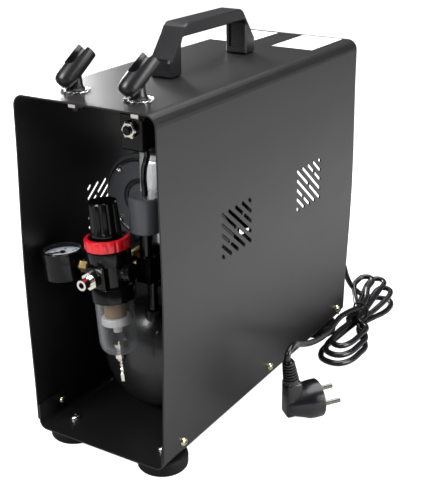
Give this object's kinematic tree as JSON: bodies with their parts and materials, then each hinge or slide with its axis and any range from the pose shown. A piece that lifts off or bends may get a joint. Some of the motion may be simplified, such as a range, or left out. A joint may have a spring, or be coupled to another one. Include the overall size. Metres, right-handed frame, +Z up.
{
  "type": "airbrush compressor",
  "caption": "Small piston air compressor in an open-ended folded steel case with a carry handle, two airbrush holders, a front filter regulator with gauge, and a mains lead with plug",
  "frame": {"origin": "Centre of the bounding box in plan, on the floor under the feet, without the mains lead", "axes": "+Z up; the front of the case, with the regulator, faces -Y; +X is the right-hand side seen from the front"},
  "size_m": [0.2362, 0.4936, 0.3896],
  "materials": {
    "powder": "satin dark grey powder coat with a fine grain",
    "handle_plastic": "satin black moulded plastic",
    "rubber": "matt black rubber",
    "nickel": "bright nickel plate, slightly warm",
    "black_plastic": "half-gloss black plastic",
    "red_plastic": "bright red plastic",
    "black_anodised": "black satin coated zinc or aluminium casting",
    "brass": "bare machined brass",
    "dial": "pale blue-grey printed dial",
    "clear_plastic": "clear polycarbonate",
    "sintered": "tan sintered filter element",
    "white_plastic": "white nylon",
    "steel": "turned bright steel",
    "tank_paint": "dark satin grey paint",
    "aluminium": "bright cast or drawn aluminium",
    "copper": "bare copper tube",
    "cord": "black flexible PVC"
  },
  "bodies": {
    "case": {"air_tank": "tank_paint", "base_tray": "powder", "check_valve": "brass", "cord_hank": "cord", "cord_lead": "cord", "cord_tail": "cord", "cover": "powder", "crankcase": "aluminium", "cylinder_barrel": "aluminium", "cylinder_head": "aluminium", "delivery_tube": "copper", "drain_body": "nickel", "filter_baffle": "white_plastic", "filter_bowl": "clear_plastic", "filter_element": "sintered", "foot_front_left": "rubber", "foot_front_right": "rubber", "foot_rear_left": "rubber", "foot_rear_right": "rubber", "gauge_case": "black_plastic", "gauge_dial": "dial", "gauge_stem": "brass", "handle": "handle_plastic", "holder_nut_left": "nickel", "holder_nut_right": "nickel", "inlet_coupling": "brass", "lock_ring": "red_plastic", "manifold_block": "black_anodised", "motor_housing": "tank_paint", "outlet_fitting": "nickel", "plug_body": "cord", "plug_pin_left": "nickel", "plug_pin_right": "nickel", "port_plug": "black_plastic", "pressure_switch": "black_plastic", "pump_deck": "powder", "regulator_body": "black_anodised", "regulator_bonnet": "black_plastic", "rubber_mount_left": "rubber", "rubber_mount_right": "rubber", "run_capacitor": "aluminium", "safety_valve": "brass", "star_washer_left": "nickel", "star_washer_right": "nickel", "strain_relief": "cord", "switch_box": "black_plastic", "switch_cable": "cord", "tank_drain_valve": "brass"},
    "holder_left_body": {"holder_left": "handle_plastic"},
    "holder_right_body": {"holder_right": "handle_plastic"},
    "adjuster": {"adjusting_screw": "steel"},
    "knob": {"pressure_knob": "black_plastic"},
    "needle": {"gauge_needle": "black_plastic"},
    "drain": {"drain_pin": "nickel"},
    "button": {"power_button": "black_plastic"},
    "rotor": {"rotor_shaft": "steel", "cooling_fan": "black_plastic"},
    "piston_rod": {"piston": "black_anodised"},
    "relief_pin": {"safety_valve_pin": "steel"},
    "drain_knob": {"tank_drain_knob": "brass"}
  },
  "joints": [
    {"name": "holder_left_turn", "type": "hinge", "parent": "case", "child": "holder_left_body", "pos_m": [-0.033, -0.14925, 0.3433], "axis": [0, 0, 1], "continuous": true},
    {"name": "holder_right_turn", "type": "hinge", "parent": "case", "child": "holder_right_body", "pos_m": [0.033, -0.14925, 0.3433], "axis": [0, 0, 1], "continuous": true},
    {"name": "pressure_adjust", "type": "hinge", "parent": "case", "child": "adjuster", "pos_m": [-0.00099, -0.15725, 0.22815], "axis": [-0.0872, 0, 0.9962], "range_deg": [-720, 720]},
    {"name": "knob_pull", "type": "slide", "parent": "adjuster", "child": "knob", "axis": [-0.0872, 0, 0.9962], "range_m": [0, 0.003]},
    {"name": "gauge_pointer", "type": "hinge", "parent": "case", "child": "needle", "pos_m": [-0.05218, -0.15725, 0.19375], "axis": [-0.0872, 0, 0.9962], "range_deg": [-270, 0]},
    {"name": "drain_press", "type": "slide", "parent": "case", "child": "drain", "axis": [-0.0872, 0, 0.9962], "range_m": [0, 0.002], "stiffness_N_per_m": 300, "springref_m": -0.001},
    {"name": "power_press", "type": "slide", "parent": "case", "child": "button", "axis": [0, 1, 0], "range_m": [0, 0.002], "stiffness_N_per_m": 400, "springref_m": -0.001},
    {"name": "motor_spin", "type": "hinge", "parent": "case", "child": "rotor", "pos_m": [-0.015, -0.05325, 0.2303], "axis": [0, 1, 0], "continuous": true},
    {"name": "piston_stroke", "type": "slide", "parent": "case", "child": "piston_rod", "axis": [0, 0, 1], "range_m": [-0.01, 0]},
    {"name": "relief_pull", "type": "slide", "parent": "case", "child": "relief_pin", "axis": [0, 0, 1], "range_m": [0, 0.002], "stiffness_N_per_m": 800, "springref_m": -0.001},
    {"name": "tank_drain_turn", "type": "hinge", "parent": "case", "child": "drain_knob", "pos_m": [0, 0.17175, 0.0393], "axis": [0, 1, 0], "range_deg": [0, 90]}
  ]
}
